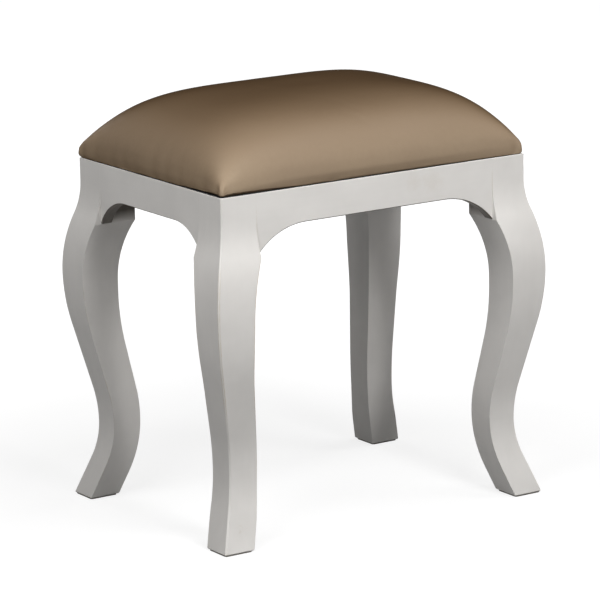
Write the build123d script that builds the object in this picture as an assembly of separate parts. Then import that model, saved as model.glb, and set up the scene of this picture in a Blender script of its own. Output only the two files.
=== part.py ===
from build123d import *
import os
from math import acos, atan2, cos, degrees, sin, sqrt

# Upholstered dressing stool: four cabriole legs, arched aprons tenoned into them, corner blocks
# that brace the frame, and a padded seat that is screwed on from below.
# Millimetres, +Z up, +X along the long side, -Y the front, origin on the floor under the middle.

# Frame
frame_width = 410.0  # over the outer faces of the posts, left to right
frame_depth = 303.0  # over the outer faces of the posts, front to back
frame_height = 400.0  # floor to the top of posts and aprons
foot_pad_thickness = 1.5
foot_pad_margin = 1.5  # pad edge inside the edge of the foot
foot_pad_corner = 3.0

# Leg outline, drawn once and sawn on both faces; offsets count from the frame's outer plane
post_size = 45.5  # square post at the top of the leg
post_length = 71.0  # straight inner face of the post, which the apron butts against
shoulder_drop = 27.5  # straight outer face, from the top down
knee_overhang = 17.5
knee_drop = 132.5  # fullest point of the knee, below the top
inner_knee_inset = 29.6
inner_knee_drop = 156.0
inner_knee_straight = 14.0  # upright run above that point, before the face swells to the post
ankle_inset = 9.4
ankle_height = 89.0
inner_ankle_inset = 45.0
inner_ankle_height = 95.0
foot_kick = 13.0  # toe of the foot outside the frame's plane
foot_size = 38.0  # square foot at the floor
edge_ease = 1.5  # bevelled arrises of the legs
foot_ease = 1.0
top_ease = 0.4  # bevelled top edge, carried on from the posts to the aprons

# Lean of each curved run, against the straight line between its ends: 1 is straight, 2 is all curve
shoulder_lean = 1.99
calf_lean = 1.41
inner_calf_lean = 1.49
foot_lean = 1.32
inner_foot_lean = 1.55
# Share of a run's bending that its upper arc takes; the rest is in its lower arc
shoulder_share = 0.35
calf_share = 0.60
inner_calf_share = 0.64

# Aprons and their tenons
apron_thickness = 15.0
apron_height = 39.5  # at mid span
long_arch_radius = 84.0  # lower edge of the front and back aprons, into the posts
short_arch_radius = 60.0  # lower edge of the left and right aprons
arch_ease = 1.0
tenon_thickness = 6.0
tenon_length = 22.0
tenon_top_shoulder = 10.0
tenon_bottom_shoulder = 14.0
glue_gap = 0.15  # round each tenon in its mortise

# Corner blocks
block_thickness = 24.0
block_drop = 1.0  # block top below the frame's top
block_arm = 66.5  # along each apron, from the post
block_end = 8.0  # square end against the apron
block_notch_gap = 0.5  # round the post
seat_screw_margin = 11.5  # seat screw from both inner faces of the post
apron_screw_margin = 40.5  # apron screw from the post, along the apron
apron_screw_grip = 20.0  # wood under the head of an apron screw

# Wood screws
screw_diameter = 4.0
screw_head_diameter = 8.0
screw_head_height = 2.6
recess_length = 4.4  # each arm of the cross recess, tip to tip
recess_width = 1.0
recess_depth = 1.4
screw_tip_length = 4.0
apron_screw_bite = 10.0  # depth in the apron
seat_screw_bite = 8.0  # depth in the seat board
pilot_gap = 0.05
shank_gap = 0.3
head_pocket_gap = 1.0

# Seat
seat_setback = 1.2  # widest line of the pad inside the frame's outer planes
seat_rise = 83.0  # highest point of the pad above the frame's top
roll_radius = 3.5  # rounded lower edge of the pad
side_height = 11.5  # upright side of the pad, before it turns in to the crown
seat_corner = 6.0  # plan corner at the widest line
crown_camber = 11.0  # rise of the gently arched top above the rounded shoulders of the pad
cover_thickness = 1.2
wadding_thickness = 4.0
layer_gap = 0.2
board_thickness = 12.0
hem_width = 34.0  # cover turned under the board, from the widest line
lining_thickness = 0.5
lining_margin = 2.0  # lining edge inside the frame's outer planes

# Places that follow from the sizes above
half_width = frame_width / 2
half_depth = frame_depth / 2
post_foot = frame_height - post_length
arch_drop = post_length - apron_height
seat_underside = frame_height + lining_thickness
board_underside = seat_underside + cover_thickness
board_top = board_underside + board_thickness
seat_crown = frame_height + seat_rise
block_top = frame_height - block_drop
block_underside = block_top - block_thickness
block_reach = post_size + block_arm
apron_screw_length = apron_screw_grip + apron_screw_bite
seat_screw_length = board_underside - block_underside + seat_screw_bite
tenon_bottom = post_foot + tenon_bottom_shoulder
tenon_top = frame_height - tenon_top_shoulder
tenon_near = (apron_thickness - tenon_thickness) / 2  # tenon faces, from the outer plane
tenon_far = (apron_thickness + tenon_thickness) / 2
blank_size = 4 * post_size  # long enough to saw a leg from
corners = {
    "front_left": (-1, -1),
    "front_right": (1, -1),
    "back_left": (-1, 1),
    "back_right": (1, 1),
}


def block_between(low, high):
    """Box between two opposite corners."""
    size = [b - a for a, b in zip(low, high)]
    return Pos(*low) * Box(*size, align=(Align.MIN, Align.MIN, Align.MIN))


def swap_sides(shape):
    """The same shape with X and Y changed over, for the other face of a corner."""
    return mirror(shape, about=Plane(origin=(0, 0, 0), z_dir=(1, -1, 0)))


def at_corner(shape, side_x, side_y):
    """Takes a shape drawn from the outer corner of the frame, outward positive, to one corner."""
    placed = Pos(half_width, half_depth, 0) * shape
    if side_x < 0:
        placed = mirror(placed, about=Plane.YZ)
    if side_y < 0:
        placed = mirror(placed, about=Plane.XZ)
    return placed


def swaying_run(top, bottom, lean, share):
    """Run down a leg, upright at its top: an arc, a straight stretch and an arc back to upright.

    With a share of 1 there is no second arc, and the run ends as its straight stretch.
    """
    across = bottom[0] - top[0]
    down = top[1] - bottom[1]
    angle = lean * atan2(abs(across), down)
    bend = (down * sin(angle) - abs(across) * cos(angle)) / (1 - cos(angle))
    turn = degrees(angle) if across > 0 else -degrees(angle)
    upper = JernArc(top, (0, -1), bend * share, turn)
    if share < 1:
        lower = JernArc(bottom, (0, 1), bend * (1 - share), turn)
        return upper + Line(upper @ 1, lower @ 1) + lower
    return upper + Line(upper @ 1, bottom)


def leg_outline():
    """Face of the leg: offset from the frame's plane against height."""
    sole = foot_pad_thickness
    shoulder = (0, frame_height - shoulder_drop)
    knee = (knee_overhang, frame_height - knee_drop)
    ankle = (-ankle_inset, ankle_height)
    toe = (foot_kick, sole)
    heel = (foot_kick - foot_size, sole)
    inner_ankle = (-inner_ankle_inset, inner_ankle_height)
    inner_knee = (-inner_knee_inset, frame_height - inner_knee_drop)
    swell = (-inner_knee_inset, frame_height - inner_knee_drop + inner_knee_straight)
    post_edge = (-post_size, post_foot)
    outline = Polyline(post_edge, (-post_size, frame_height), (0, frame_height), shoulder)
    outline += swaying_run(shoulder, knee, shoulder_lean, shoulder_share)
    outline += swaying_run(knee, ankle, calf_lean, calf_share)
    outline += swaying_run(ankle, toe, foot_lean, 1)
    outline += Line(toe, heel)
    outline += swaying_run(inner_ankle, heel, inner_foot_lean, 1)
    outline += swaying_run(inner_knee, inner_ankle, inner_calf_lean, inner_calf_share)
    outline += Line(inner_knee, swell)
    outline += TangentArc(swell, post_edge, tangent=(0, 1))
    return make_face(outline)


def mortise():
    """Pocket in the post for one apron's tenon, glue gap included."""
    return block_between(
        (-post_size, -tenon_far - glue_gap, tenon_bottom - glue_gap),
        (-post_size + tenon_length + glue_gap, -tenon_near + glue_gap, tenon_top + glue_gap),
    )


def leg():
    """Cabriole leg: the outline sawn through on one face, then on the other."""
    outline = leg_outline()
    half_blank = blank_size / 2
    front_cut = extrude(Plane.XZ.offset(-half_blank) * outline, blank_size)
    side_cut = extrude(Plane.YZ.offset(-half_blank) * outline, blank_size)
    body = front_cut & side_cut
    # Every long arris below the post, and the outer one up to the top
    long_edges = body.edges().filter_by(lambda edge: edge.bounding_box().size.Z > post_length)
    body = chamfer(long_edges, edge_ease)
    top_edges = body.faces().sort_by(Axis.Z)[-1].edges()
    outer_top = top_edges.filter_by(lambda edge: edge.center().X + edge.center().Y > -post_size)
    body = chamfer(outer_top, top_ease)
    body = chamfer(body.faces().sort_by(Axis.Z)[0].edges(), foot_ease)
    return body - mortise() - swap_sides(mortise())


def foot_pad():
    """Thin pad under a foot, set in from its edges."""
    size = foot_size - 2 * foot_pad_margin
    centre = foot_kick - foot_size / 2
    return extrude(Pos(centre, centre) * RectangleRounded(size, size, foot_pad_corner), foot_pad_thickness)


def apron(half_span, half_frame, arch_radius):
    """Front apron of a frame: arched lower edge, tenoned ends, outer face towards -Y."""
    turn = acos((arch_radius - arch_drop) / arch_radius)
    run = sqrt(arch_radius**2 - (arch_radius - arch_drop) ** 2)
    flat = half_span - run
    under = frame_height - apron_height
    right_arch = JernArc((flat, under), (1, 0), arch_radius, -degrees(turn))
    left_arch = JernArc((-flat, under), (-1, 0), arch_radius, degrees(turn))
    outline = Line((-flat, under), (flat, under)) + right_arch + left_arch
    outline += Line(right_arch @ 1, (half_span, frame_height))
    outline += Line((half_span, frame_height), (-half_span, frame_height))
    outline += Line((-half_span, frame_height), left_arch @ 1)
    body = Pos(0, -half_frame) * extrude(Plane.XZ * make_face(outline), -apron_thickness)
    lower_edges = body.edges().filter_by(
        lambda edge: edge.center().Z < under + arch_ease and abs(edge.center().X) < half_span - arch_ease
    )
    lower_edges = lower_edges.filter_by(lambda edge: edge.bounding_box().size.Y < arch_ease)
    body = chamfer(lower_edges, arch_ease)
    top_edge = body.edges().filter_by(Axis.X).group_by(Axis.Z)[-1].sort_by(Axis.Y)[0]
    body = chamfer(top_edge, top_ease)
    for side in (-1, 1):
        ends = sorted((side * half_span, side * (half_span + tenon_length)))
        body += block_between(
            (ends[0], tenon_near - half_frame, tenon_bottom),
            (ends[1], tenon_far - half_frame, tenon_top),
        )
    return body


def wood_screw(length):
    """Pan-headed cross-recess screw along +Z: head below zero, shank and point above it."""
    radius = screw_diameter / 2
    head_radius = screw_head_diameter / 2
    profile = Polyline(
        (0, -screw_head_height),
        (head_radius, -screw_head_height),
        (head_radius, 0),
        (radius, 0),
        (radius, length - screw_tip_length),
        (0, length),
        close=True,
    )
    body = revolve(Plane.XZ * make_face(profile), Axis.Z)
    for size in ((recess_length, recess_width), (recess_width, recess_length)):
        body -= Pos(0, 0, -screw_head_height) * Box(
            *size, recess_depth, align=(Align.CENTER, Align.CENTER, Align.MIN)
        )
    return body


def screw_bore(length, gap):
    """Hole for a screw's shank, open at its head end."""
    return Cylinder(screw_diameter / 2 + gap, length, align=(Align.CENTER, Align.CENTER, Align.MIN))


# A screw into the X-running apron, and the seat screw, both seen from the frame's outer corner
screw_level = block_top - block_thickness / 2
apron_screw_at = post_size + apron_screw_margin
seat_screw_at = post_size + seat_screw_margin
apron_screw_place = Pos(-apron_screw_at, -apron_thickness - apron_screw_grip, screw_level) * Rot(X=-90)
seat_screw_place = Pos(-seat_screw_at, -seat_screw_at, block_underside)


def corner_block():
    """Brace across a corner of the frame, notched round the post and bored for its screws."""
    notch = -post_size - block_notch_gap
    outline = Polyline(
        (notch, -apron_thickness),
        (-block_reach, -apron_thickness),
        (-block_reach, -apron_thickness - block_end),
        (-apron_thickness - block_end, -block_reach),
        (-apron_thickness, -block_reach),
        (-apron_thickness, notch),
        (notch, notch),
        close=True,
    )
    body = extrude(Pos(0, 0, block_underside) * make_face(outline), block_thickness)
    pocket = Cylinder(
        screw_head_diameter / 2 + head_pocket_gap,
        block_reach,
        align=(Align.CENTER, Align.CENTER, Align.MAX),
    )
    apron_bore = apron_screw_place * (screw_bore(apron_screw_grip, shank_gap) + pocket)
    seat_bore = seat_screw_place * screw_bore(block_thickness, shank_gap)
    return body - apron_bore - swap_sides(apron_bore) - seat_bore


def pad_outline(half, inset):
    """Section of the pad on one axis: rolled lower edge, upright side, round shoulder, arched top."""
    bottom = seat_underside + inset
    side_top = seat_underside + side_height
    rise = seat_crown - inset - side_top
    shoulder = rise - crown_camber
    arch = ((half - shoulder) ** 2 + rise**2 - shoulder**2) / (2 * crown_camber)
    turn = atan2(arch - rise, half - shoulder)
    roll = max(roll_radius - inset, 0)
    right = Line((0, bottom), (half - roll, bottom))
    if roll > 0:
        right += JernArc((half - roll, bottom), (1, 0), roll, 90)
    right += Line((half, bottom + roll), (half, side_top))
    round_shoulder = JernArc((half, side_top), (0, 1), shoulder, degrees(turn))
    right += round_shoulder
    right += TangentArc(round_shoulder @ 1, (0, seat_crown - inset), tangent=round_shoulder % 1)
    return make_face(right + mirror(right, about=Plane.YZ))


def pad_form(inset):
    """Crowned pad with mitred corners, inset from the outside of the cover."""
    half_x = half_width - seat_setback - inset
    half_y = half_depth - seat_setback - inset
    along_x = pad_outline(half_x, inset)
    along_y = pad_outline(half_y, inset)
    form = extrude(Plane.XZ.offset(half_y) * along_x, 2 * half_y, dir=(0, 1, 0))
    form &= extrude(RectangleRounded(2 * half_x, 2 * half_y, seat_corner), seat_crown)
    return form & extrude(Plane.YZ.offset(-half_x) * along_y, 2 * half_x, dir=(1, 0, 0))


def seat_slab(inset, bottom, thickness):
    """Flat rounded rectangle, inset from the frame's outer planes."""
    outline = RectangleRounded(2 * (half_width - inset), 2 * (half_depth - inset), seat_corner)
    return extrude(Pos(0, 0, bottom) * outline, thickness)


nodes = {}

# Legs, their pads and the aprons
aprons = {
    "apron_front": apron(half_width - post_size, half_depth, long_arch_radius),
    "apron_right": Rot(Z=90) * apron(half_depth - post_size, half_width, short_arch_radius),
}
aprons["apron_back"] = mirror(aprons["apron_front"], about=Plane.XZ)
aprons["apron_left"] = mirror(aprons["apron_right"], about=Plane.YZ)
one_leg = leg()
one_pad = foot_pad()
one_block = corner_block()
for corner_name, sides in corners.items():
    nodes["leg_" + corner_name] = at_corner(one_leg, *sides)
    nodes["foot_pad_" + corner_name] = at_corner(one_pad, *sides)
    nodes["corner_block_" + corner_name] = at_corner(one_block, *sides)

# Screws, with their pilot holes in the aprons and the board
apron_screw = apron_screw_place * wood_screw(apron_screw_length)
apron_pilot = apron_screw_place * screw_bore(apron_screw_length, pilot_gap)
seat_screw = seat_screw_place * wood_screw(seat_screw_length)
seat_pilot = seat_screw_place * screw_bore(seat_screw_length, pilot_gap)
long_screws = [at_corner(apron_screw, *sides) for sides in corners.values()]
short_screws = [at_corner(swap_sides(apron_screw), *sides) for sides in corners.values()]
seat_screws = [at_corner(seat_screw, *sides) for sides in corners.values()]
seat_pilots = [at_corner(seat_pilot, *sides) for sides in corners.values()]
for sides in corners.values():
    long_apron = "apron_back" if sides[1] > 0 else "apron_front"
    short_apron = "apron_right" if sides[0] > 0 else "apron_left"
    aprons[long_apron] -= at_corner(apron_pilot, *sides)
    aprons[short_apron] -= at_corner(swap_sides(apron_pilot), *sides)
nodes.update(aprons)
nodes["corner_block_screws"] = Compound(children=long_screws + short_screws)
nodes["seat_screws"] = Compound(children=seat_screws)

# Seat: board, foam, wadding and cover, each inside the next, and the lining under them
wadding_outside = cover_thickness + layer_gap
wadding_inside = wadding_outside + wadding_thickness
foam_outside = wadding_inside + layer_gap
board_inset = seat_setback + foam_outside
hem_hole = seat_slab(seat_setback + hem_width, seat_underside, cover_thickness)
below_foam = seat_slab(0, seat_underside, board_top - seat_underside)
board_room = seat_slab(board_inset - layer_gap, seat_underside, board_top - seat_underside)
nodes["seat_board"] = seat_slab(board_inset, board_underside, board_thickness) - seat_pilots
nodes["seat_foam"] = pad_form(foam_outside) - below_foam
nodes["seat_wadding"] = pad_form(wadding_outside) - pad_form(wadding_inside) - board_room
nodes["seat_cover"] = pad_form(0) - pad_form(cover_thickness) - hem_hole
nodes["dust_cover"] = seat_slab(lining_margin, frame_height, lining_thickness) - seat_pilots

os.makedirs("parts", exist_ok=True)
for name, shape in nodes.items():
    export_step(shape, f"parts/{name}.step")
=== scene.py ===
import math
import random

import bmesh
import bpy
import numpy as np
from mathutils import Matrix, Vector


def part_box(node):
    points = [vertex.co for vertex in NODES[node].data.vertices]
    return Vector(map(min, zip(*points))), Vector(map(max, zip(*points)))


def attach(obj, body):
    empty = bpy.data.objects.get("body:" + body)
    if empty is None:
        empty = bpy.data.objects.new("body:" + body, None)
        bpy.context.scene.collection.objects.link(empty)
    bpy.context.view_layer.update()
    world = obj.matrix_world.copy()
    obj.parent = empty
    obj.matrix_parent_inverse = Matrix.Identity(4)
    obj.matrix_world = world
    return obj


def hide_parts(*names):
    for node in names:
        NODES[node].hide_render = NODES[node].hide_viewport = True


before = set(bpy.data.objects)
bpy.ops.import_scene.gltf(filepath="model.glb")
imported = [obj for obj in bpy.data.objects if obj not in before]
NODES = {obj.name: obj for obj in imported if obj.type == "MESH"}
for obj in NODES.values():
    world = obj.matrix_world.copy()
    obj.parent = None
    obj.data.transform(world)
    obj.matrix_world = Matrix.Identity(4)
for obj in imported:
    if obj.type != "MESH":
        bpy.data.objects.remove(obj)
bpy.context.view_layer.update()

scene = bpy.context.scene
scene.view_settings.view_transform = "Standard"
MM = 0.001

# Camera, solved from the corners of the frame and the feet
IMAGE_SIZE = 600
FOCAL_PIXELS = 3951.0
SENSOR = 36.0
VIEW_AZIMUTH = math.radians(-33.35)
VIEW_ELEVATION = math.radians(13.08)
VIEW_ROLL = math.radians(-1.10)
VIEW_DISTANCE = 4.555
AIM_ACROSS = -0.0042
AIM_HEIGHT = 0.2304
CLIP_END = 50.0


def direction(azimuth, elevation):
    """Unit vector towards a place seen from the middle of the stool; azimuth 0 is the front."""
    return Vector((
        math.sin(azimuth) * math.cos(elevation),
        -math.cos(azimuth) * math.cos(elevation),
        math.sin(elevation),
    ))


def make_camera():
    """Camera at its fitted place, turned by its roll."""
    back = direction(VIEW_AZIMUTH, VIEW_ELEVATION)
    right = Vector((math.cos(VIEW_AZIMUTH), math.sin(VIEW_AZIMUTH), 0.0))
    up = back.cross(right)
    rolled_right = right * math.cos(VIEW_ROLL) + up * math.sin(VIEW_ROLL)
    rolled_up = up * math.cos(VIEW_ROLL) - right * math.sin(VIEW_ROLL)
    place = rolled_right * AIM_ACROSS + Vector((0.0, 0.0, AIM_HEIGHT)) + back * VIEW_DISTANCE
    data = bpy.data.cameras.new("camera")
    data.sensor_width = SENSOR
    data.sensor_fit = "HORIZONTAL"
    data.lens = FOCAL_PIXELS / IMAGE_SIZE * SENSOR
    data.clip_end = CLIP_END
    camera = bpy.data.objects.new("camera", data)
    scene.collection.objects.link(camera)
    turn = Matrix((rolled_right, rolled_up, back)).transposed().to_4x4()
    camera.matrix_world = Matrix.Translation(place) @ turn
    scene.camera = camera


make_camera()


# Places on the frame that the materials use
POST_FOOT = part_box("apron_front")[0].z  # lower end of the posts and of the apron ends
POST_SIZE = 45.5 * MM
# Outer faces of the posts and aprons, and inner faces of the posts
OUTSIDE = {"X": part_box("apron_right")[1].x, "Y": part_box("apron_back")[1].y}
POST_INSIDE = {axis: outer - POST_SIZE for axis, outer in OUTSIDE.items()}
POST_SHADE_FADE = 13.0 * MM  # height over which the painted shade fades in inside the posts
APRON_SHADE_FADE = 0.8 * MM  # the same inside the aprons
ROOM_X = -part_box("apron_left")[1].x  # inner faces of the aprons
ROOM_Y = -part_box("apron_front")[1].y


# Materials


class Nodes:
    """Short ways to add and join the nodes of one material."""

    def __init__(self, name):
        self.material = bpy.data.materials.new(name)
        self.material.use_nodes = True
        self.tree = self.material.node_tree
        self.shader = self.tree.nodes["Principled BSDF"]
        self.output = self.tree.nodes["Material Output"]

    def add(self, kind, **settings):
        node = self.tree.nodes.new(kind)
        for key, value in settings.items():
            if key in node.inputs:
                node.inputs[key].default_value = value
            else:
                setattr(node, key, value)
        return node

    def join(self, source, target):
        self.tree.links.new(source, target)

    def place(self, scale=(1.0, 1.0, 1.0)):
        """Object coordinates, stretched along the grain."""
        coordinates = self.add("ShaderNodeTexCoord")
        mapping = self.add("ShaderNodeMapping")
        mapping.inputs["Scale"].default_value = scale
        self.join(coordinates.outputs["Object"], mapping.inputs["Vector"])
        return mapping.outputs["Vector"]

    def parts(self, vector):
        """The X, Y and Z of a vector."""
        node = self.add("ShaderNodeSeparateXYZ")
        self.join(vector, node.inputs[0])
        return node.outputs

    def noise(self, vector, scale, detail=3.0, roughness=0.5):
        node = self.add("ShaderNodeTexNoise", Scale=scale, Detail=detail, Roughness=roughness)
        self.join(vector, node.inputs["Vector"])
        return node.outputs["Fac"]

    def ramp(self, value, low, high, start=0.0, end=1.0):
        """Straight ramp of a value between two levels."""
        node = self.add("ShaderNodeMapRange")
        node.inputs["From Min"].default_value = low
        node.inputs["From Max"].default_value = high
        node.inputs["To Min"].default_value = start
        node.inputs["To Max"].default_value = end
        self.join(value, node.inputs["Value"])
        return node.outputs["Result"]

    def math(self, operation, first, second):
        node = self.add("ShaderNodeMath", operation=operation)
        for socket, value in zip(node.inputs, (first, second)):
            if isinstance(value, (int, float)):
                socket.default_value = value
            else:
                self.join(value, socket)
        return node.outputs["Value"]

    def mix(self, factor, first, second):
        """Colour between two colours, each a tuple or another node's colour."""
        node = self.add("ShaderNodeMix", data_type="RGBA")
        for socket, value in ((node.inputs[0], factor), (node.inputs[6], first), (node.inputs[7], second)):
            if isinstance(value, (int, float)):
                socket.default_value = value
            elif isinstance(value, tuple):
                socket.default_value = (*value, 1.0)
            else:
                self.join(value, socket)
        return node.outputs[2]

    def bump(self, height, distance, strength=1.0, normal=None):
        node = self.add("ShaderNodeBump", Strength=strength, Distance=distance)
        self.join(height, node.inputs["Height"])
        if normal is not None:
            self.join(normal, node.inputs["Normal"])
        return node.outputs["Normal"]

    def finish(self, colour, roughness, normal=None):
        self.join(colour, self.shader.inputs["Base Color"])
        if isinstance(roughness, (int, float)):
            self.shader.inputs["Roughness"].default_value = roughness
        else:
            self.join(roughness, self.shader.inputs["Roughness"])
        if normal is not None:
            self.join(normal, self.shader.inputs["Normal"])
        return self.material


def linear(red, green, blue):
    """Linear colour of an sRGB triple from 0 to 255."""
    def one(value):
        value = value / 255.0
        return value / 12.92 if value <= 0.04045 else ((value + 0.055) / 1.055) ** 2.4
    return (one(red), one(green), one(blue))


PAINT_SHADES = linear(224, 221, 217), linear(232, 229, 225)
BRUSH_MARKS = linear(203, 201, 197)
THIN_PAINT = linear(186, 168, 132)
WORN_WOOD = linear(178, 150, 100)
STAIN = linear(176, 152, 112)
# Painted shade: a dark wood colour on the undersides and inner faces of the frame, where shade falls under
# the seat
PAINTED_SHADE_WOOD = linear(84, 78, 70), linear(110, 102, 92)
EASED_EDGE = 0.5 * MM  # radius that the light sees on a painted edge
RUBBED_EDGE = 1.6 * MM  # how far from an edge the paint is rubbed thin
EDGE_LEAN = (0.995, 0.90)  # cosine of the normal's lean where an edge begins and is full
THINNED = 0.40  # share of the paint that is rubbed off the edges
RUBBED_FADE = 30.0 * MM  # height over which the heavier wear begins and ends
SHADED_UNDERSIDE = (-0.28, -0.40)  # z of the normal where the painted shade on an underside begins and is full
INNER_SHADE_EDGE = (1.0 * MM, 0.4 * MM)  # outside the inner faces, where the painted shade begins and is full
OUTER_SHADE_EDGE = (0.8 * MM, 1.4 * MM)  # inside the outer faces, the same


def edge_mask(n, normal):
    """1 along the edges of a piece and 0 on its faces."""
    rounded_over = n.add("ShaderNodeBevel", samples=6)
    rounded_over.inputs["Radius"].default_value = RUBBED_EDGE
    lean = n.add("ShaderNodeVectorMath", operation="DOT_PRODUCT")
    n.join(rounded_over.outputs["Normal"], lean.inputs[0])
    n.join(normal, lean.inputs[1])
    return n.ramp(lean.outputs["Value"], *EDGE_LEAN)


def painted_shade_mask(n, spot, normal, inside, fade):
    """1 on the undersides and inner faces that get painted shade and 0 elsewhere."""
    shade_mask = n.ramp(n.parts(normal)["Z"], *SHADED_UNDERSIDE)
    across = {axis: n.math("ABSOLUTE", spot[axis], 0.0) for axis in "XY"}
    for axis, other in ("XY", "YX"):
        if axis in inside:
            deep = n.ramp(across[axis], *(inside[axis] + wrap for wrap in INNER_SHADE_EDGE))
            covered = n.ramp(across[other], *(OUTSIDE[other] - wrap for wrap in OUTER_SHADE_EDGE))
            shade_mask = n.math("MAXIMUM", shade_mask, n.math("MULTIPLY", deep, covered))
    return n.math("MULTIPLY", shade_mask, n.ramp(spot["Z"], POST_FOOT, POST_FOOT + fade))


def painted_wood(name, grain_scale, inside, fade=APRON_SHADE_FADE, rubbed=None, marks=()):
    """Satin off-white paint, brushed along the grain and rubbed thin on its edges.

    inside is how far from the middle, on each axis, the inner faces are given painted shade in a dark
    wood colour, as are the undersides, and fade is the height over which that painted shade fades in;
    rubbed is a range of heights where the edges are worn to the wood; marks are small stains, each a
    place, a size and a strength.
    """
    n = Nodes(name)
    everywhere = n.place()
    spot = n.parts(everywhere)
    normal = n.add("ShaderNodeNewGeometry").outputs["Normal"]
    strokes = n.noise(n.place(grain_scale), 1.0, 4.0, 0.6)
    blotches = n.noise(everywhere, 14.0, 3.0, 0.55)
    specks = n.noise(everywhere, 130.0, 3.0, 0.6)
    colour = n.mix(n.ramp(blotches, 0.35, 0.68), *PAINT_SHADES)
    colour = n.mix(n.ramp(strokes, 0.3, 0.75, 0.0, 0.10), colour, BRUSH_MARKS)
    edge = edge_mask(n, normal)
    patches = n.ramp(n.noise(everywhere, 26.0, 4.0, 0.6), 0.50, 0.66)
    wear = n.math("MULTIPLY", n.math("MULTIPLY", edge, patches), THINNED)
    colour = n.mix(wear, colour, THIN_PAINT)
    shade_colour = n.mix(n.ramp(strokes, 0.3, 0.7), *PAINTED_SHADE_WOOD)
    # painted shade: the undersides and inner faces turn the dark wood colour
    colour = n.mix(painted_shade_mask(n, spot, normal, inside, fade), colour, shade_colour)
    if rubbed:
        low, high = rubbed
        above = n.ramp(spot["Z"], low, low + RUBBED_FADE)
        below = n.ramp(spot["Z"], high - RUBBED_FADE, high, 1.0, 0.0)
        worn = n.math("MULTIPLY", n.math("MULTIPLY", above, below), n.ramp(specks, 0.35, 0.60, 0.35, 0.85))
        colour = n.mix(n.math("MULTIPLY", worn, edge), colour, WORN_WOOD)
    for place, size, strength in marks:
        away = n.add("ShaderNodeVectorMath", operation="DISTANCE")
        n.join(everywhere, away.inputs[0])
        away.inputs[1].default_value = place
        ragged = n.math("ADD", away.outputs["Value"], n.ramp(specks, 0.2, 0.8, -0.5 * size, 0.5 * size))
        colour = n.mix(n.ramp(ragged, 0.2 * size, size, strength, 0.0), colour, STAIN)
    eased = n.add("ShaderNodeBevel", samples=4)
    eased.inputs["Radius"].default_value = EASED_EDGE
    n.shader.inputs["Specular IOR Level"].default_value = 0.45
    rough = n.ramp(blotches, 0.3, 0.7, 0.38, 0.50)
    return n.finish(colour, rough, n.bump(strokes, 0.25 * MM, 0.35, eased.outputs["Normal"]))


def bare_wood(name, ring_scale):
    """Unfinished softwood with its grain."""
    n = Nodes(name)
    along = n.place(ring_scale)
    wave = n.add("ShaderNodeTexWave", wave_type="BANDS", bands_direction="Y")
    wave.inputs["Scale"].default_value = 1.0
    wave.inputs["Distortion"].default_value = 5.0
    wave.inputs["Detail"].default_value = 3.0
    n.join(along, wave.inputs["Vector"])
    fibres = n.noise(n.place(tuple(6.0 * s for s in ring_scale)), 1.0, 4.0, 0.65)
    colour = n.mix(wave.outputs["Fac"], linear(205, 172, 126), linear(180, 140, 92))
    colour = n.mix(n.ramp(fibres, 0.35, 0.7, 0.0, 0.35), colour, linear(158, 120, 78))
    return n.finish(colour, n.ramp(fibres, 0.3, 0.7, 0.62, 0.78), n.bump(fibres, 0.4 * MM, 0.5))


def plywood(name):
    """Birch plywood: pale faces, veneers in layers on the edge."""
    n = Nodes(name)
    layers = n.add("ShaderNodeTexWave", wave_type="BANDS", bands_direction="Z")
    layers.inputs["Scale"].default_value = 68.0
    layers.inputs["Distortion"].default_value = 0.3
    n.join(n.place(), layers.inputs["Vector"])
    fibres = n.noise(n.place((12.0, 160.0, 60.0)), 1.0, 4.0, 0.6)
    colour = n.mix(layers.outputs["Fac"], linear(214, 188, 146), linear(176, 140, 98))
    colour = n.mix(n.ramp(fibres, 0.35, 0.7, 0.0, 0.3), colour, linear(160, 124, 84))
    return n.finish(colour, n.ramp(fibres, 0.3, 0.7, 0.6, 0.75), n.bump(fibres, 0.3 * MM, 0.4))


def steel(name):
    """Zinc-plated steel, lightly brushed and spotted."""
    n = Nodes(name)
    spots = n.noise(n.place(), 900.0, 3.0, 0.6)
    colour = n.mix(n.ramp(spots, 0.35, 0.7), linear(198, 196, 188), linear(168, 164, 150))
    n.shader.inputs["Metallic"].default_value = 1.0
    return n.finish(colour, n.ramp(spots, 0.3, 0.7, 0.28, 0.46), n.bump(spots, 0.05 * MM, 0.4))


def felt(name, light, dark):
    """Pressed fibres."""
    n = Nodes(name)
    fibres = n.noise(n.place(), 1400.0, 4.0, 0.7)
    colour = n.mix(n.ramp(fibres, 0.35, 0.7), dark, light)
    return n.finish(colour, 0.95, n.bump(fibres, 0.4 * MM, 0.7))


def spun_lining(name):
    """Black spun-bonded lining with its small embossed dots."""
    n = Nodes(name)
    cells = n.add("ShaderNodeTexVoronoi", Scale=700.0, Randomness=0.15)
    n.join(n.place(), cells.inputs["Vector"])
    fibres = n.noise(n.place(), 500.0, 4.0, 0.7)
    dots = n.ramp(cells.outputs["Distance"], 0.15, 0.35)
    shade = n.math("MULTIPLY", dots, n.ramp(fibres, 0.3, 0.7))
    colour = n.mix(shade, linear(22, 22, 23), linear(44, 44, 46))
    return n.finish(colour, 0.85, n.bump(dots, 0.2 * MM, 0.6))


def foam_cells(name):
    """Open-celled upholstery foam."""
    n = Nodes(name)
    cells = n.add("ShaderNodeTexVoronoi", Scale=600.0)
    n.join(n.place(), cells.inputs["Vector"])
    pores = n.ramp(cells.outputs["Distance"], 0.1, 0.6)
    colour = n.mix(pores, linear(196, 178, 120), linear(236, 222, 170))
    return n.finish(colour, 0.9, n.bump(pores, 0.6 * MM, 0.8))


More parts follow.
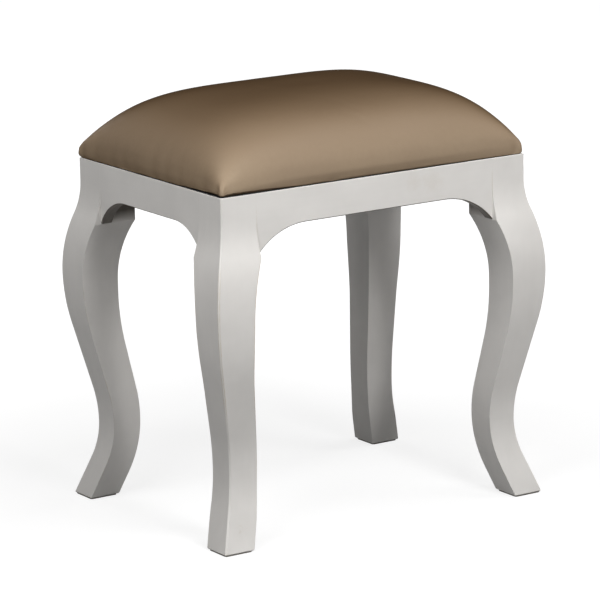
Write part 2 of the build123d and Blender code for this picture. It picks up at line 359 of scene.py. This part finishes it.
def wadding_fibres(name):
    """White polyester wadding."""
    n = Nodes(name)
    fibres = n.noise(n.place((1.0, 1.0, 3.0)), 240.0, 5.0, 0.7)
    colour = n.mix(n.ramp(fibres, 0.3, 0.7), linear(214, 214, 210), linear(240, 240, 238))
    return n.finish(colour, 0.95, n.bump(fibres, 1.0 * MM, 0.8))


PAINTED_CROWN_SHADE = (426.0 * MM, 474.0 * MM)  # heights between which the cover's colour darkens towards the crown: painted shade for its dark top
COAT_TINT = (0.67, 0.625, 0.57, 1.0)  # deepens the colour where the cover is seen at a slant


def seat_leather(name):
    """Taupe leathercloth: fine pebbled grain with a satin finish, and painted shade darkening its crown."""
    n = Nodes(name)
    grain = n.add("ShaderNodeTexVoronoi", Scale=900.0, Randomness=1.0)
    n.join(n.place(), grain.inputs["Vector"])
    pebbles = n.ramp(grain.outputs["Distance"], 0.05, 0.55)
    broad = n.noise(n.place(), 9.0, 2.0, 0.5)
    fine = n.noise(n.place(), 160.0, 3.0, 0.6)
    # painted shade: the colour darkens with height, towards the top of the crown
    crown_shade_height = n.math("ADD", n.parts(n.place())["Z"], n.ramp(broad, 0.3, 0.7, -6.0 * MM, 6.0 * MM))
    colour = n.mix(n.ramp(broad, 0.35, 0.68), linear(189, 172, 152), linear(195, 178, 157))
    colour = n.mix(n.ramp(crown_shade_height, *PAINTED_CROWN_SHADE), colour, linear(162, 145, 126))
    colour = n.mix(n.ramp(fine, 0.35, 0.7, 0.0, 0.22), colour, linear(176, 159, 139))
    colour = n.mix(n.ramp(pebbles, 0.0, 0.5, 0.20, 0.0), colour, linear(156, 140, 122))
    n.shader.inputs["Specular IOR Level"].default_value = 0.20
    n.shader.inputs["Coat Weight"].default_value = 1.0
    n.shader.inputs["Coat IOR"].default_value = 1.03
    n.shader.inputs["Coat Roughness"].default_value = 0.4
    n.shader.inputs["Coat Tint"].default_value = COAT_TINT
    rough = n.ramp(fine, 0.3, 0.7, 0.46, 0.56)
    return n.finish(colour, rough, n.bump(pebbles, 0.12 * MM, 0.30))


FRONT_FACE = -OUTSIDE["Y"]
KNEE_WEAR = (0.14, 0.335)  # heights between which the front left leg's edges are worn
FOOT_STAIN = ((-0.192, -0.165, 0.030), 0.010, 0.35)  # place, size and strength
APRON_STAINS = (((0.052, FRONT_FACE, 0.386), 0.012, 0.08), ((0.078, FRONT_FACE, 0.383), 0.016, 0.07))
LONG_GRAIN = (8.0, 120.0, 120.0)
CROSS_GRAIN = (120.0, 8.0, 120.0)
UPRIGHT_GRAIN = (120.0, 120.0, 8.0)
leg_paint = painted_wood("painted_leg", UPRIGHT_GRAIN, POST_INSIDE, POST_SHADE_FADE)
worn_leg_paint = painted_wood(
    "painted_leg_worn", UPRIGHT_GRAIN, POST_INSIDE, POST_SHADE_FADE, rubbed=KNEE_WEAR, marks=[FOOT_STAIN])
long_paint = painted_wood("painted_long_apron", LONG_GRAIN, {"Y": ROOM_Y}, marks=APRON_STAINS)
short_paint = painted_wood("painted_short_apron", CROSS_GRAIN, {"X": ROOM_X})
block_wood = bare_wood("block_wood", (30.0, 90.0, 90.0))
board_wood = plywood("board_plywood")
screw_steel = steel("screw_steel")
pad_felt = felt("pad_felt", linear(158, 151, 142), linear(122, 115, 107))
lining_cloth = spun_lining("lining_cloth")
foam_material = foam_cells("foam")
wadding_material = wadding_fibres("wadding")
cover_material = seat_leather("seat_leathercloth")


def paint(node, material):
    """Gives a CAD piece its one material."""
    NODES[node].data.materials.clear()
    NODES[node].data.materials.append(material)


CORNERS = ("front_left", "front_right", "back_left", "back_right")
for corner in CORNERS:
    paint("leg_" + corner, leg_paint)
    paint("foot_pad_" + corner, pad_felt)
    paint("corner_block_" + corner, block_wood)
paint("leg_front_left", worn_leg_paint)
paint("apron_front", long_paint)
paint("apron_back", long_paint)
paint("apron_left", short_paint)
paint("apron_right", short_paint)
paint("corner_block_screws", screw_steel)
paint("seat_screws", screw_steel)
paint("seat_board", board_wood)
paint("dust_cover", lining_cloth)


# Seat pad: cover, wadding and foam

cover_low, cover_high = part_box("seat_cover")
BASE = cover_low.z  # underside of the turned-under cover
HALF_X = cover_high.x
HALF_Y = cover_high.y
CROWN_BASE = BASE + 11.6 * MM  # line where the side turns in to the crown
POWER_X = 4.28  # how flat the crown runs along and across before it falls, and how round it falls
POWER_Y = 3.69
CROWN_POWER = 0.522
CROWDING = 0.78  # how far the columns and rows crowd towards the edges
COLUMNS = 96
ROWS = 72
PLAN_CORNER = 4.0 * MM
SWELL = 2.0 * MM  # most that the simulation may move the skin
SWELL_FRAMES = 20
HELD_BELOW = 2.0 * MM  # height of the hem that the simulation holds still
COVER_THICKNESS = 1.1 * MM
WADDING_INSET = 2.4 * MM
WADDING_THICKNESS = 2.2 * MM
FOAM_INSET = 7.6 * MM
# Rings of a layer below its crown, from the top down: inset and height above the base, mm
LIP_RINGS = [(-0.3, 9.0), (-0.6, 6.4), (-0.7, 4.2), (-0.6, 2.4), (-0.35, 1.1), (0.0, 0.4), (0.4, 0.1)]
HEM_INSETS = (0.9, 1.6, 2.4, 4.0, 5.0, 8.0, 16.0, 24.0, 34.0)  # the part that is turned under
HEM_HEIGHT = 0.03
COVER_RINGS = LIP_RINGS + [(inset, HEM_HEIGHT) for inset in HEM_INSETS]
WADDING_RINGS = [(0.3, 8.5), (1.0, 5.8)]
FOAM_RINGS = [(0.0, 13.3)]
LEAST_RIM = 2.0 * MM  # upright edge of a layer above its first ring
LEAST_CORNER = 3.0 * MM  # plan radius of the inner layers' corners


def spread(count):
    """Places from -1 to 1, closer together towards the ends."""
    steps = np.linspace(-1.0, 1.0, count + 1)
    return CROWDING * np.sin(steps * math.pi / 2) + (1 - CROWDING) * steps


def crown(x, y):
    """Share of the pad's rise at a place from -1 to 1."""
    falls = (1 - abs(x) ** POWER_X) * (1 - abs(y) ** POWER_Y)
    return max(falls, 0.0) ** CROWN_POWER


def ring_places(columns, rows):
    """Grid places of the outline, anticlockwise from the front left corner."""
    ring = [(i, 0) for i in range(columns)]
    ring += [(columns, j) for j in range(rows)]
    ring += [(i, rows) for i in range(columns, 0, -1)]
    ring += [(0, j) for j in range(rows, 0, -1)]
    return ring


def rounded(x, y, half_x, half_y, corner):
    """Pulls a place near a corner of a rectangle onto its rounded corner."""
    over_x = abs(x) - (half_x - corner)
    over_y = abs(y) - (half_y - corner)
    if over_x > 0 and over_y > 0:
        reach = math.hypot(over_x, over_y)
        limit = max(over_x, over_y)
        over_x *= limit / reach
        over_y *= limit / reach
        x = math.copysign(half_x - corner + over_x, x)
        y = math.copysign(half_y - corner + over_y, y)
    return x, y


def pad_mesh(name, inset, rings, columns, rows, closed):
    """Crowned pad inside the cover's outline, down to its last ring, with a flat underside if closed."""
    u, v = spread(columns), spread(rows)
    half_x, half_y = HALF_X - inset, HALF_Y - inset
    corner = max(PLAN_CORNER - inset, LEAST_CORNER)
    base = max(CROWN_BASE, BASE + rings[0][1] * MM + LEAST_RIM)
    mesh = bmesh.new()

    def layer(shrink_x, shrink_y, height):
        made = {}
        for i in range(columns + 1):
            for j in range(rows + 1):
                x, y = rounded(u[i] * half_x, v[j] * half_y, half_x, half_y, corner)
                made[i, j] = mesh.verts.new((x * shrink_x, y * shrink_y, height(i, j)))
        return made

    top = layer(1.0, 1.0, lambda i, j: base + crown(u[i], v[j]) * (cover_high.z - inset - base))
    for i in range(columns):
        for j in range(rows):
            mesh.faces.new((top[i, j], top[i + 1, j], top[i + 1, j + 1], top[i, j + 1]))
    places = ring_places(columns, rows)
    above = [top[place] for place in places]
    for step, (more, height) in enumerate(rings):
        shrink = (1 - more * MM / half_x, 1 - more * MM / half_y)
        level = BASE + height * MM
        if closed and step == len(rings) - 1:
            bottom = layer(*shrink, lambda i, j: level)
            for i in range(columns):
                for j in range(rows):
                    mesh.faces.new((bottom[i, j], bottom[i, j + 1], bottom[i + 1, j + 1], bottom[i + 1, j]))
            below = [bottom[place] for place in places]
        else:
            below = []
            for place in places:
                x, y, _ = top[place].co
                below.append(mesh.verts.new((x * shrink[0], y * shrink[1], level)))
        for k in range(len(places)):
            after = (k + 1) % len(places)
            mesh.faces.new((above[k], below[k], below[after], above[after]))
        above = below
    data = bpy.data.meshes.new(name)
    mesh.normal_update()
    mesh.to_mesh(data)
    mesh.free()
    return data


def swell(piece):
    """Blows the skin up a little with cloth, held along its hem, and keeps the result."""
    start = get_places(piece)
    held = piece.vertex_groups.new(name="held")
    for index, place in enumerate(start):
        if place[2] < BASE + HELD_BELOW:
            held.add([index], 1.0, "REPLACE")
    cloth = piece.modifiers.new("cloth", "CLOTH")
    cloth.settings.quality = 6
    cloth.settings.mass = 0.4
    cloth.settings.tension_stiffness = 30.0
    cloth.settings.compression_stiffness = 30.0
    cloth.settings.shear_stiffness = 12.0
    cloth.settings.bending_stiffness = 2.0
    cloth.settings.use_pressure = True
    cloth.settings.uniform_pressure_force = 4.0
    cloth.settings.vertex_group_mass = "held"
    cloth.settings.effector_weights.gravity = 0.0
    cloth.collision_settings.use_collision = False
    cloth.point_cache.frame_start = 1
    cloth.point_cache.frame_end = SWELL_FRAMES
    for step in range(1, SWELL_FRAMES + 1):
        scene.frame_set(step)
    shown = piece.evaluated_get(bpy.context.evaluated_depsgraph_get())
    moved = np.array([vertex.co[:] for vertex in shown.data.vertices])
    piece.modifiers.remove(cloth)
    piece.vertex_groups.remove(held)
    scene.frame_set(1)
    move = moved - start
    length = np.linalg.norm(move, axis=1, keepdims=True)
    move *= np.minimum(1.0, SWELL / np.maximum(length, 1e-9))
    return start + move


def hump(value, middle, width):
    """Bell curve of height 1."""
    return np.exp(-((value - middle) / width) ** 2)


# Shape of the drawn cover; heights above its base and depths of folds in mm, places along it in metres
DRAWN_REACH = 34.0 * MM  # how far in from a side its puckers fade out
FLAT_BELOW = 0.5  # the turned-under part, which has no puckers
TUCK = {"front": 3.0, "back": 2.0, "left": 1.6, "right": 2.0}  # pull of the lower edge at mid span
TUCK_HEIGHT = 11.0
TUCK_REACH = 5.0 * MM
PUCKERS = 9  # along each side
PUCKER_DEPTH = {"front": 0.35, "back": 0.6, "left": 1.4, "right": 0.8}
PUCKER_SPAN = 0.86  # share of a side that has puckers
PUCKER_HEIGHT = 4.0
# Least and most of what differs from pucker to pucker
PUCKER_SHIFT = (0.2, 0.8)
PUCKER_WIDTH = (5.0 * MM, 11.0 * MM)
PUCKER_SHARE = (0.4, 1.0)
PUCKER_REACH = (14.0, 34.0)
NICK_PLACE = -56.0 * MM  # one deeper pucker in the front lower edge
NICK_DEPTH = 1.1
NICK_WIDTH = 5.0 * MM
NICK_REACH = 7.0
FOLD_DEPTH = 0.9  # crease beside each corner
FOLD_PLACE = 10.0 * MM
FOLD_WIDTH = 4.5 * MM
FOLD_HEIGHT = 6.0
FOLD_REACH = 16.0
FULL = 2.0  # how far the back left corner stands out
FULL_REACH = 26.0 * MM
FULL_ABOVE = 3.0
LIFT = 5.5  # how far the cover stands off the frame at the front left corner
LIFT_REACH = (105.0 * MM, 95.0 * MM)  # along the front and the left side
LIFT_HEIGHT = 12.0
LIFT_INSET = 4.0 * MM  # where the lift ends on the turned-under hem
LIFT_FADE = 1.6 * MM
LIFT_AT_CORNER = 0.45  # share of the lift at the very corner
LIFT_CORNER = (1.0 * MM, 6.0 * MM)  # where it begins to grow beside the corner, and over what length
PRESSED = 0.4  # share of its height that the same corner has lost
PRESSED_REACH = (60.0 * MM, 95.0 * MM)  # along the front and the left side
PRESSED_HEIGHT = 22.0 * MM


def puckers(side, along, half, height, chance):
    """Depth of one side's puckers, each at a place, a width, a depth and a reach of its own."""
    depth = np.zeros_like(along)
    for k in range(PUCKERS):
        middle = half * PUCKER_SPAN * (2 * (k + chance.uniform(*PUCKER_SHIFT)) / PUCKERS - 1)
        width = chance.uniform(*PUCKER_WIDTH)
        deepest = PUCKER_DEPTH[side] * chance.uniform(*PUCKER_SHARE)
        reach = chance.uniform(*PUCKER_REACH)
        depth += deepest * hump(along, middle, width) * hump(height, PUCKER_HEIGHT, reach)
    return depth


def upholster(places):
    """Draws the cover in: folds at its corners, puckers along its sides and a tucked lower edge."""
    chance = random.Random(7)
    x, y, z = places.T
    height = (z - BASE) / MM
    move = np.zeros_like(places)  # mm
    sides = {
        "front": (x, HALF_X, HALF_Y + y, 1, 1.0), "back": (x, HALF_X, HALF_Y - y, 1, -1.0),
        "left": (y, HALF_Y, HALF_X + x, 0, 1.0), "right": (y, HALF_Y, HALF_X - x, 0, -1.0),
    }
    for side, (along, half, depth, axis, inward) in sides.items():
        near = hump(np.maximum(depth, 0.0), 0.0, DRAWN_REACH) * (height > FLAT_BELOW)
        span = np.clip(1 - (along / half) ** 2, 0.0, 1.0)
        low = np.clip(1 - height / TUCK_HEIGHT, 0.0, 1.0) * (depth < TUCK_REACH)
        drawn = puckers(side, along, half, height, chance)
        if side == "front":
            drawn += NICK_DEPTH * hump(along, NICK_PLACE, NICK_WIDTH) * hump(height, 0.0, NICK_REACH)
        for end in (-1.0, 1.0):
            crease = hump(along, end * (half - FOLD_PLACE), FOLD_WIDTH)
            drawn += FOLD_DEPTH * crease * hump(height, FOLD_HEIGHT, FOLD_REACH)
        move[:, axis] += inward * (TUCK[side] * span * low + drawn * near)
    full = hump(np.hypot(x + HALF_X, y - HALF_Y), 0.0, FULL_REACH) * np.clip(height / FULL_ABOVE, 0.0, 1.0)
    move[:, 0] -= FULL * full
    move[:, 1] += FULL * full
    return press(lift(places + move * MM), BASE)


def lift(places):
    """Draws the lower edge of a layer up, off the frame, along both sides of the front left corner."""
    x, y, z = places.T
    in_x, in_y = x + HALF_X, y + HALF_Y
    near = np.clip(1 - np.hypot(in_x / LIFT_REACH[0], in_y / LIFT_REACH[1]), 0.0, 1.0)
    edge = np.clip((LIFT_INSET - np.minimum(in_x, in_y)) / LIFT_FADE, 0.0, 1.0)
    beside = np.clip((np.hypot(in_x, in_y) - LIFT_CORNER[0]) / LIFT_CORNER[1], LIFT_AT_CORNER, 1.0)
    low = np.clip(1 - (z - BASE) / MM / LIFT_HEIGHT, 0.0, 1.0)
    places[:, 2] += LIFT * MM * near * low * edge * beside
    return places


def pressed(places):
    """How far the front left corner's flattening reaches, 1 at the corner."""
    along_front = hump(places[:, 0], -HALF_X, PRESSED_REACH[0])
    along_left = hump(places[:, 1], -HALF_Y, PRESSED_REACH[1])
    return along_front * along_left


def press(places, foot):
    """Flattens the front left corner of a layer of the pad, down to the height of its foot."""
    height = np.maximum(places[:, 2] - foot, 0.0)
    places[:, 2] -= PRESSED * pressed(places) * height * hump(height, 0.0, PRESSED_HEIGHT)
    return places


def set_places(piece, places):
    piece.data.vertices.foreach_set("co", places.astype(np.float32).ravel())
    piece.data.update()


def get_places(piece):
    return np.array([vertex.co[:] for vertex in piece.data.vertices])


def link(name, data, material):
    """Smooth-shaded piece that rides on the stool."""
    piece = bpy.data.objects.new(name, data)
    scene.collection.objects.link(piece)
    data.materials.append(material)
    for polygon in data.polygons:
        polygon.use_smooth = True
    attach(piece, "root")
    return piece


def subdivide(piece):
    smooth = piece.modifiers.new("smooth", "SUBSURF")
    smooth.levels = 1
    smooth.render_levels = 1


def thicken(piece, thickness):
    """Gives a skin its thickness, inwards."""
    shell = piece.modifiers.new("thickness", "SOLIDIFY")
    shell.thickness = thickness
    shell.offset = -1.0
    shell.use_even_offset = True


THIN_SHARE = 0.55  # part of the wadding's thickness that is lost at the corners
THIN_REACH = 22.0 * MM
THIN_HEIGHT = 12.0 * MM  # below this the wadding thins towards its lower edge
LEAST_SHARE = 0.6


def thin_out(piece):
    """Thins a thickened layer at its corners and along its lower edge."""
    x, y, z = get_places(piece).T
    near = hump(np.hypot(HALF_X - abs(x), HALF_Y - abs(y)), 0.0, THIN_REACH)
    at_corner = 1 - THIN_SHARE * np.maximum(pressed(get_places(piece)), near)
    at_edge = np.clip((z - BASE) / THIN_HEIGHT, LEAST_SHARE, 1.0)
    thin = piece.vertex_groups.new(name="thin")
    for index, share in enumerate(at_corner * at_edge):
        thin.add([index], float(share), "REPLACE")
    piece.modifiers["thickness"].vertex_group = "thin"


cover = link(
    "seat_cover_cloth",
    pad_mesh("seat_cover_cloth", 0.0, COVER_RINGS, COLUMNS, ROWS, False),
    cover_material,
)
set_places(cover, upholster(swell(cover)))
subdivide(cover)
thicken(cover, COVER_THICKNESS)
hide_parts("seat_cover")

wadding = link(
    "seat_wadding_wrap",
    pad_mesh("seat_wadding_wrap", WADDING_INSET, WADDING_RINGS, COLUMNS // 2, ROWS // 2, False),
    wadding_material,
)
set_places(wadding, press(lift(get_places(wadding)), BASE))
thicken(wadding, WADDING_THICKNESS)
thin_out(wadding)
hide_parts("seat_wadding")

foam = link(
    "seat_foam_block",
    pad_mesh("seat_foam_block", FOAM_INSET, FOAM_RINGS, COLUMNS // 2, ROWS // 2, True),
    foam_material,
)
set_places(foam, press(get_places(foam), BASE + FOAM_RINGS[-1][1] * MM))
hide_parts("seat_foam")


# Lining under the seat, with its staples

lining_low, lining_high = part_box("dust_cover")
LINING_SAG = 3.0 * MM
LINING_THICKNESS = 0.45 * MM
LINING_COLUMNS = 102
LINING_ROWS = 76
BLOCK_LINE = 229.5 * MM  # x and y of the corner blocks' inner faces, added up
BLOCK_EASE = 70.0 * MM  # how far from a block the lining hangs free
WAVE_DEPTH = 0.12 * MM  # of the small waves between the staples
WAVE_INSET = 10.0 * MM
WAVE_WIDTH = 9.0 * MM
STAPLE_INSET = 6.5 * MM  # inside the aprons
STAPLE_X = ROOM_X - STAPLE_INSET
STAPLE_Y = ROOM_Y - STAPLE_INSET
STAPLE_PITCH = 34.0 * MM
STAPLE_CROWN = 10.0 * MM
STAPLE_WIRE = 0.6 * MM
STAPLE_WIDTH = 1.1 * MM
STAPLE_LEGS = 6.0 * MM
STAPLE_MARGIN = 24.0 * MM  # bare length at the ends of each side, both added up
STAPLE_GAP = 0.25 * MM  # between the lining's box and a staple's crown
STAPLE_ROUNDING = 0.18 * MM


def staple_line(half):
    """Even places along one side of the lining."""
    count = int((2 * half - STAPLE_MARGIN) / STAPLE_PITCH)
    return [STAPLE_PITCH * (k - (count - 1) / 2) for k in range(count)]


def lining_drop(x, y):
    """How far the lining hangs below its edge: a slack middle, and small waves between the staples."""
    if abs(x) >= STAPLE_X or abs(y) >= STAPLE_Y:
        return 0.0
    free = min(max((BLOCK_LINE - abs(x) - abs(y)) / BLOCK_EASE, 0.0), 1.0)
    free = free * free * (3 - 2 * free)
    slack = (1 - (x / STAPLE_X) ** 2) * (1 - (y / STAPLE_Y) ** 2)
    waves = 0.0
    for along, across, line in ((x, y, STAPLE_Y), (y, x, STAPLE_X)):
        beside = hump(abs(across), line - WAVE_INSET, WAVE_WIDTH)
        waves += beside * (1 - math.cos(2 * math.pi * along / STAPLE_PITCH))
    return free * (LINING_SAG * slack + WAVE_DEPTH * waves)


def lining_mesh():
    """Thin cloth, held flat along its stapled edge and slack in the middle."""
    mesh = bmesh.new()
    grid = {}
    for i in range(LINING_COLUMNS + 1):
        for j in range(LINING_ROWS + 1):
            x = lining_high.x * (2.0 * i / LINING_COLUMNS - 1.0)
            y = lining_high.y * (2.0 * j / LINING_ROWS - 1.0)
            x, y = rounded(x, y, lining_high.x, lining_high.y, PLAN_CORNER)
            grid[i, j] = mesh.verts.new((x, y, lining_high.z - lining_drop(x, y)))
    for i in range(LINING_COLUMNS):
        for j in range(LINING_ROWS):
            mesh.faces.new((grid[i, j], grid[i + 1, j], grid[i + 1, j + 1], grid[i, j + 1]))
    data = bpy.data.meshes.new("dust_cover_cloth")
    mesh.normal_update()
    mesh.to_mesh(data)
    mesh.free()
    return data


def staple_mesh():
    """Wire staples, each a crown with two legs driven up into the board."""
    mesh = bmesh.new()
    half, wire = STAPLE_CROWN / 2, STAPLE_WIRE
    outline = [
        (-half, 0.0), (half, 0.0), (half, STAPLE_LEGS), (half - wire, STAPLE_LEGS),
        (half - wire, wire), (wire - half, wire), (wire - half, STAPLE_LEGS), (-half, STAPLE_LEGS),
    ]
    low = lining_low.z - STAPLE_GAP - wire
    spots = [(x, side * STAPLE_Y, 0) for x in staple_line(STAPLE_X) for side in (-1, 1)]
    spots += [(side * STAPLE_X, y, 1) for y in staple_line(STAPLE_Y) for side in (-1, 1)]
    for x, y, turned in spots:
        faces = []
        for shift in (-STAPLE_WIDTH / 2, STAPLE_WIDTH / 2):
            ring = []
            for along, up in outline:
                place = (x + shift, y + along, low + up) if turned else (x + along, y + shift, low + up)
                ring.append(mesh.verts.new(place))
            faces.append(ring)
        near, far = faces
        mesh.faces.new(near)
        mesh.faces.new(list(reversed(far)))
        for k in range(len(outline)):
            after = (k + 1) % len(outline)
            mesh.faces.new((near[k], far[k], far[after], near[after]))
    bmesh.ops.recalc_face_normals(mesh, faces=mesh.faces)
    data = bpy.data.meshes.new("dust_cover_staples")
    mesh.to_mesh(data)
    mesh.free()
    return data


lining = link("dust_cover_cloth", lining_mesh(), lining_cloth)
thicken(lining, LINING_THICKNESS)
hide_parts("dust_cover")

staples = bpy.data.objects.new("dust_cover_staples", staple_mesh())
scene.collection.objects.link(staples)
staples.data.materials.append(screw_steel)
rounding = staples.modifiers.new("rounding", "BEVEL")
rounding.width = STAPLE_ROUNDING
rounding.segments = 2
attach(staples, "root")


# Floor, light and background

FLOOR_HALF = 30.0
FLOOR_GREY = 0.26  # share of the light that it throws back
GLOW_NEAR = 0.78  # share of white that the floor shows by itself, under the stool and far from it
GLOW_FAR = 1.0
GLOW_REACH = (0.35, 1.1)  # distances where the near glow ends and the far one begins
FLOOR_SHINE = 0.4  # share of its glow that the floor shows in reflections
AMBIENT = 0.008  # light from all round
LAMP_AIM = Vector((0.0, 0.0, 0.25))


def make_floor():
    """Pale floor: white to the eye, grey for the light that it throws back, with a soft shadow."""
    mesh = bmesh.new()
    bmesh.ops.create_grid(mesh, x_segments=2, y_segments=2, size=FLOOR_HALF)
    data = bpy.data.meshes.new("floor")
    mesh.to_mesh(data)
    mesh.free()
    floor = bpy.data.objects.new("floor", data)
    scene.collection.objects.link(floor)
    n = Nodes("floor")
    path = n.add("ShaderNodeLightPath")
    shown = n.math("MULTIPLY", path.outputs["Is Glossy Ray"], FLOOR_SHINE)
    seen = n.math("MAXIMUM", path.outputs["Is Camera Ray"], shown)
    seen = n.math("MAXIMUM", seen, path.outputs["Is Transmission Ray"])
    reach = n.add("ShaderNodeVectorMath", operation="LENGTH")
    n.join(n.place(), reach.inputs[0])
    glow = n.add("ShaderNodeEmission")
    n.join(n.ramp(reach.outputs["Value"], *GLOW_REACH, GLOW_NEAR, GLOW_FAR), glow.inputs["Strength"])
    grey = n.add("ShaderNodeBsdfDiffuse")
    grey.inputs["Color"].default_value = (FLOOR_GREY, FLOOR_GREY, FLOOR_GREY, 1.0)
    both = n.add("ShaderNodeAddShader")
    n.join(grey.outputs["BSDF"], both.inputs[0])
    n.join(glow.outputs["Emission"], both.inputs[1])
    pick = n.add("ShaderNodeMixShader")
    n.join(seen, pick.inputs[0])
    n.join(grey.outputs["BSDF"], pick.inputs[1])
    n.join(both.outputs["Shader"], pick.inputs[2])
    n.join(pick.outputs["Shader"], n.output.inputs["Surface"])
    n.tree.nodes.remove(n.shader)
    data.materials.append(n.material)


def make_world():
    """White to the eye beyond the floor, and almost dark as a light, as the seat's dark top shows."""
    world = bpy.data.worlds.new("studio")
    scene.world = world
    world.use_nodes = True
    tree = world.node_tree
    path = tree.nodes.new("ShaderNodeLightPath")
    seen = tree.nodes.new("ShaderNodeMath")
    seen.operation = "MAXIMUM"
    level = tree.nodes.new("ShaderNodeMapRange")
    level.inputs["To Min"].default_value = AMBIENT
    tree.links.new(path.outputs["Is Camera Ray"], seen.inputs[0])
    tree.links.new(path.outputs["Is Transmission Ray"], seen.inputs[1])
    tree.links.new(seen.outputs["Value"], level.inputs["Value"])
    background = tree.nodes["Background"]
    background.inputs["Color"].default_value = (1.0, 1.0, 1.0, 1.0)
    tree.links.new(level.outputs["Result"], background.inputs["Strength"])


def make_lamp(name, azimuth, elevation, distance, size, power):
    """Round soft lamp that looks at the middle of the stool."""
    data = bpy.data.lights.new(name, "AREA")
    data.shape = "DISK"
    data.size = size
    data.energy = power
    lamp = bpy.data.objects.new(name, data)
    scene.collection.objects.link(lamp)
    towards = direction(math.radians(azimuth), math.radians(elevation))
    lamp.location = LAMP_AIM + towards * distance
    lamp.rotation_euler = towards.to_track_quat("Z", "Y").to_euler()


make_floor()
make_world()
# Lamps: azimuth and elevation in degrees, distance and disc size in metres, power in watts
LAMPS = {
    "key_high": (0.0, 50.0, 1.7, 0.6, 11.9),
    "key_low": (0.0, 28.0, 1.7, 0.6, 2.7),
    "key_far": (0.0, 20.0, 3.5, 0.4, 14.4),
    "fill": (-60.0, 54.0, 1.7, 0.6, 5.2),
    "fill_low": (-60.0, 25.0, 1.7, 0.6, 4.2),
    "left": (-90.0, 54.0, 1.7, 0.6, 5.8),
    "right_high": (60.0, 50.0, 1.7, 0.6, 6.0),
    "right": (95.0, 10.0, 3.0, 1.6, 28.0),
    "back": (-178.0, 7.0, 3.0, 1.6, 32.0),
}
for name, (azimuth, elevation, distance, size, power) in LAMPS.items():
    make_lamp(name, azimuth, elevation, distance, size, power)
